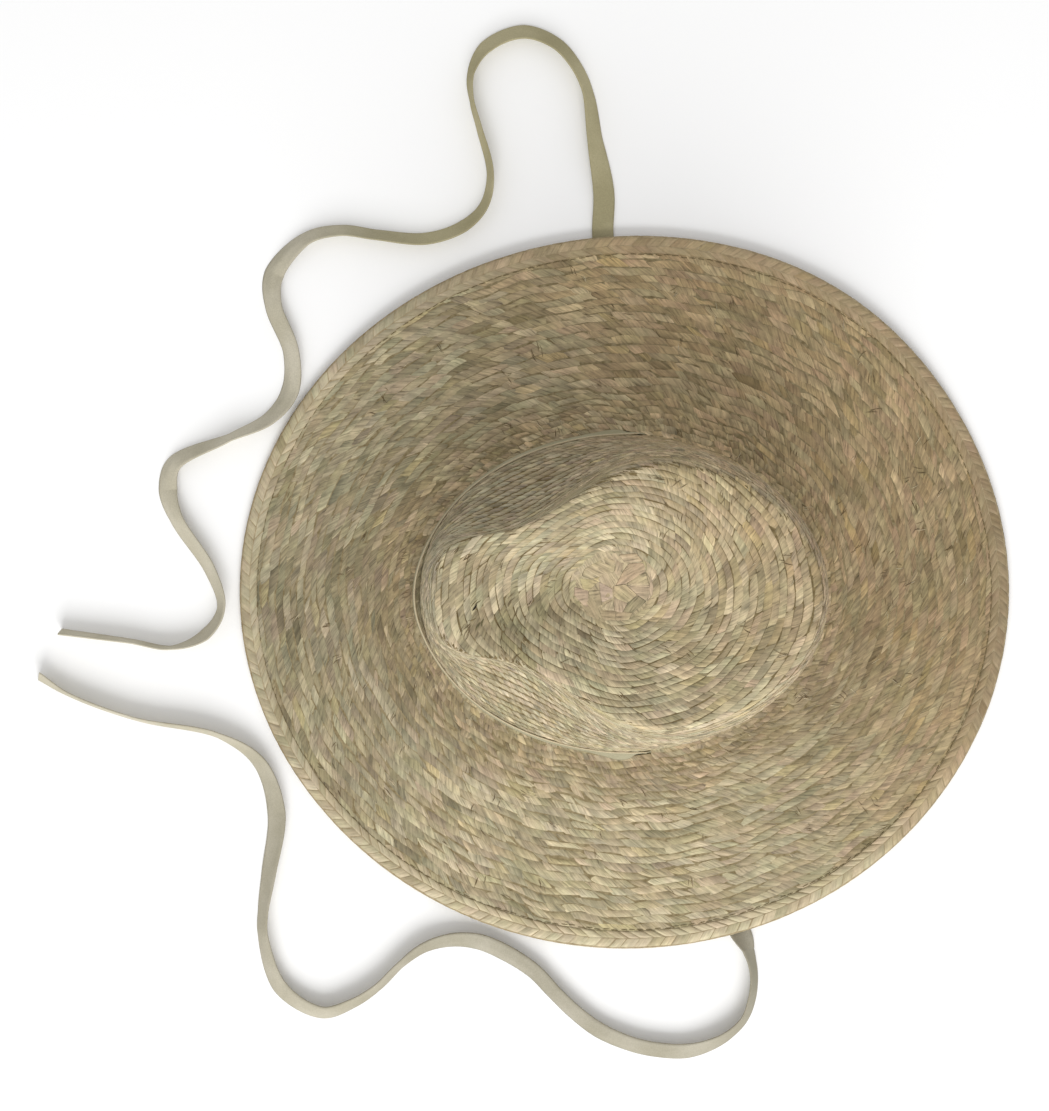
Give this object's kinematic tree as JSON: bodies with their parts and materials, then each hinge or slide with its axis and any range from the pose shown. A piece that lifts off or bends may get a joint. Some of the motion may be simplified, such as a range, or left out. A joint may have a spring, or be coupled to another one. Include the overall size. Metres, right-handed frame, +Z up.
{
  "type": "sun hat with ribbon ties",
  "caption": "Wide-brimmed sun hat of woven palm straw with a pinched teardrop crown and a narrow ribbon whose two long ties run out under the brim.",
  "frame": {"origin": "on the surface that the hat rests on, under the middle of the brim", "axes": "+Z up out of the crown, -Y towards the front of the hat, +X towards the wearer's left"},
  "size_m": [0.5335, 0.5019, 0.128],
  "materials": {
    "woven_straw": "natural woven palm leaf, dry, slightly glossy strips",
    "edge_straw": "natural plaited palm leaf",
    "ribbon": "matt ribbed grosgrain ribbon, pale sage"
  },
  "bodies": {
    "root": {"crown": "woven_straw", "brim": "woven_straw", "brim_edge_plait": "edge_straw", "crown_ribbon": "ribbon", "tie_left": "ribbon", "tie_right": "ribbon"}
  },
  "joints": []
}
